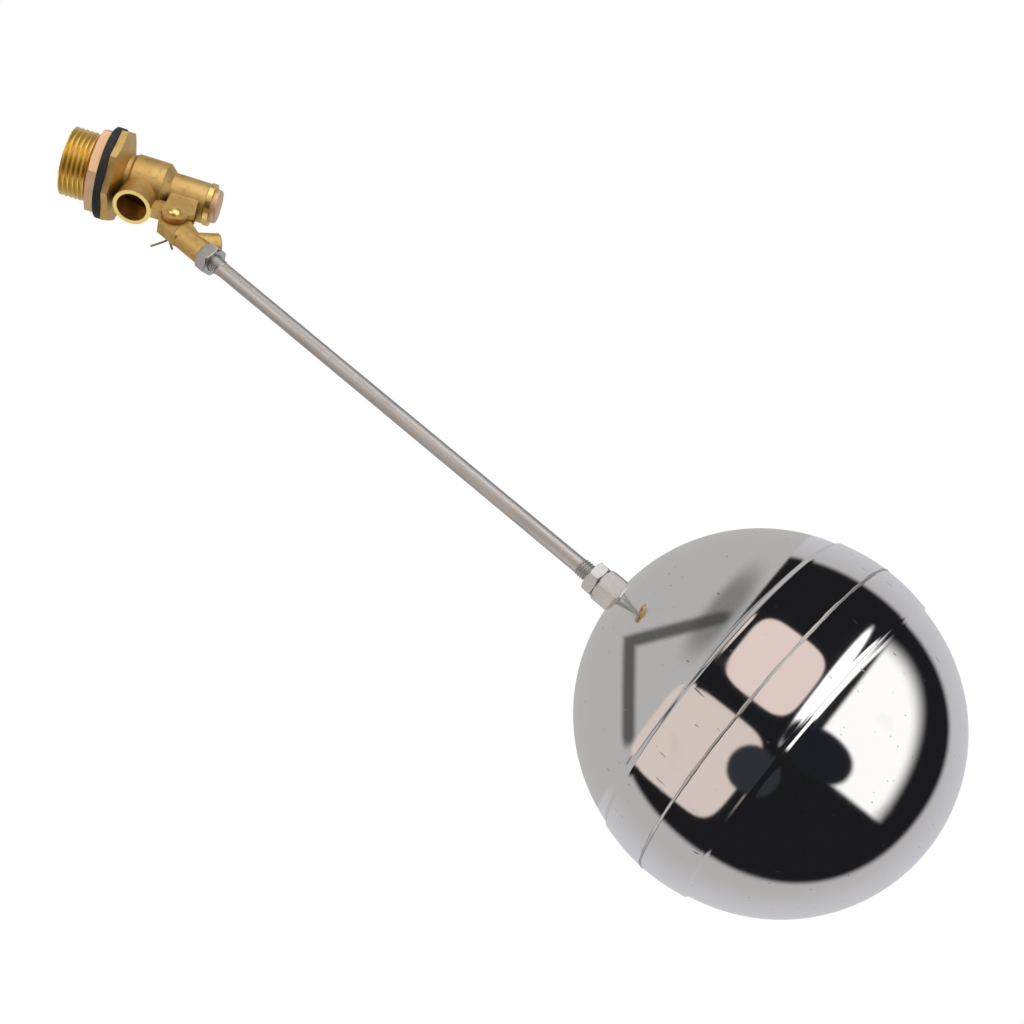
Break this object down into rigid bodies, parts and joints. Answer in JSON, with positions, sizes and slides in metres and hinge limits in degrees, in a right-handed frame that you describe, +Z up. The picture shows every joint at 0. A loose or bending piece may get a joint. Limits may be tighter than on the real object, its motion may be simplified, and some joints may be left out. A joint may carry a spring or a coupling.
{
  "type": "float valve",
  "caption": "Brass tank float valve with threaded inlet, side spout, sliding piston and pivoted lever on a steel rod with a mirror steel ball float.",
  "frame": {"origin": "centre of the inlet thread's end face", "axes": "+X along the inlet axis into the tank, towards the piston end; +Z up; the spout, the ears and the lever are below, and the pivot pin lies along Y with its head on the -Y side"},
  "size_m": [0.4315, 0.1508, 0.3239],
  "materials": {
    "cast_brass": "satin cast brass",
    "sawn_brass": "matte pinkish brass",
    "turned_brass": "bright turned brass",
    "black_rubber": "matte black rubber",
    "steel_wire": "drawn steel wire",
    "bright_steel": "bright plated steel",
    "satin_steel": "satin stainless steel",
    "mirror_steel": "mirror polished stainless steel"
  },
  "bodies": {
    "valve": {"valve_body": "cast_brass", "lock_nut": "sawn_brass", "inlet_gasket": "black_rubber", "seat_ring": "turned_brass", "pivot_pin": "turned_brass", "cotter_pin": "steel_wire"},
    "piston": {"piston": "turned_brass", "seat_washer": "black_rubber", "washer_cap": "turned_brass"},
    "float_arm": {"lever": "cast_brass", "lever_lock_nut": "bright_steel", "float_rod": "satin_steel", "float_lock_nut": "bright_steel", "float_boss": "satin_steel", "boss_weld": "satin_steel", "float_shell_rod_side": "mirror_steel", "float_shell_far_side": "mirror_steel", "float_seam_weld": "satin_steel"}
  },
  "joints": [
    {"name": "lever_pivot", "type": "hinge", "parent": "valve", "child": "float_arm", "pos_m": [0.0578, 0, -0.023], "axis": [0, -1, 0], "range_deg": [0, 28]},
    {"name": "piston_slide", "type": "slide", "parent": "valve", "child": "piston", "axis": [-1, 0, 0], "range_m": [0, 0.00895]}
  ],
  "couplings": [
    {"joint": "piston_slide", "follows": "lever_pivot", "m_per_rad": 0.01831}
  ]
}
